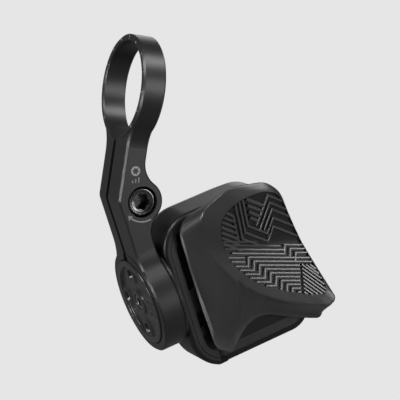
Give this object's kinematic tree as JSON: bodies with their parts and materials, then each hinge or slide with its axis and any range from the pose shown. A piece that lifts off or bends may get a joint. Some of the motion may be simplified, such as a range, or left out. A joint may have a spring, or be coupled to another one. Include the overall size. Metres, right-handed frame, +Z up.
{
  "type": "thumb shifter",
  "caption": "Wireless thumb shifter pod with a rocking textured paddle, on a slit clamp band for a flat handlebar.",
  "frame": {"origin": "centre of the handlebar bore in the clamp band", "axes": "+X along the handlebar towards the pod, -Y towards the rider, +Z up; the arms hang straight down from the bar ring"},
  "size_m": [0.0578, 0.0306, 0.0766],
  "materials": {
    "clamp_alloy": "black anodised, fine satin",
    "bolt_steel": "black oxide steel",
    "hub_alloy": "black anodised, fine satin",
    "small_steel": "dark plated steel",
    "housing_plastic": "moulded, fine matte texture",
    "deck_plastic": "moulded, matte",
    "paddle_plastic": "moulded, satin, with a raised tread",
    "plunger_plastic": "natural acetal",
    "seal_rubber": "soft black rubber",
    "board": "green solder mask",
    "switch_body": "black thermoplastic",
    "radio_shield": "tinned shield",
    "button_rubber": "satin rubber",
    "light_pipe": "clear acrylic",
    "spring_steel": "plated spring steel",
    "cell_steel": "nickel plated steel"
  },
  "bodies": {
    "clamp": {"clamp_band": "clamp_alloy", "clamp_bolt": "bolt_steel"},
    "pod": {"mount_hub": "hub_alloy", "hub_screws": "small_steel", "hub_plug": "hub_alloy", "base_housing": "housing_plastic", "paddle_deck": "deck_plastic", "deck_gasket": "seal_rubber", "deck_screws": "small_steel", "pivot_pin": "small_steel", "plunger_seals": "seal_rubber", "circuit_board": "board", "switch_upper": "switch_body", "switch_lower": "switch_body", "radio_module": "radio_shield", "button_switch": "switch_body", "status_light": "light_pipe", "battery_holder": "deck_plastic", "battery_contact_negative": "spring_steel", "battery_contact_positive": "spring_steel", "coin_cell": "cell_steel"},
    "paddle": {"thumb_paddle": "paddle_plastic", "paddle_carrier": "deck_plastic", "paddle_screws": "small_steel"},
    "upper_plunger": {"plunger_upper": "plunger_plastic"},
    "lower_plunger": {"plunger_lower": "plunger_plastic"},
    "button": {"function_button": "button_rubber"},
    "door": {"battery_door": "housing_plastic", "door_seal": "seal_rubber"}
  },
  "joints": [
    {"name": "pod_turn", "type": "hinge", "parent": "clamp", "child": "pod", "pos_m": [0.01237, 0, -0.04977], "axis": [0.887, 0, 0.4617], "range_deg": [-30, 30]},
    {"name": "paddle_tilt", "type": "hinge", "parent": "pod", "child": "paddle", "pos_m": [0.03058, -0.0092, -0.04142], "axis": [0.887, 0, 0.4617], "range_deg": [-2.5, 2.5], "stiffness_Nm_per_rad": 0.8},
    {"name": "upper_plunger_press", "type": "slide", "parent": "pod", "child": "upper_plunger", "axis": [0, 1, 0], "range_m": [-0.000325, 0.000325]},
    {"name": "lower_plunger_press", "type": "slide", "parent": "pod", "child": "lower_plunger", "axis": [0, 1, 0], "range_m": [-0.000325, 0.000325]},
    {"name": "function_button_press", "type": "slide", "parent": "pod", "child": "button", "axis": [-0.887, 0, -0.4617], "range_m": [0, 0.0004], "stiffness_N_per_m": 4000},
    {"name": "battery_door_turn", "type": "hinge", "parent": "pod", "child": "door", "pos_m": [0.03058, 0.012, -0.04142], "axis": [0, 1, 0], "range_deg": [-60, 0]}
  ],
  "couplings": [
    {"joint": "upper_plunger_press", "follows": "paddle_tilt", "m_per_rad": -0.007},
    {"joint": "lower_plunger_press", "follows": "paddle_tilt", "m_per_rad": 0.007}
  ]
}
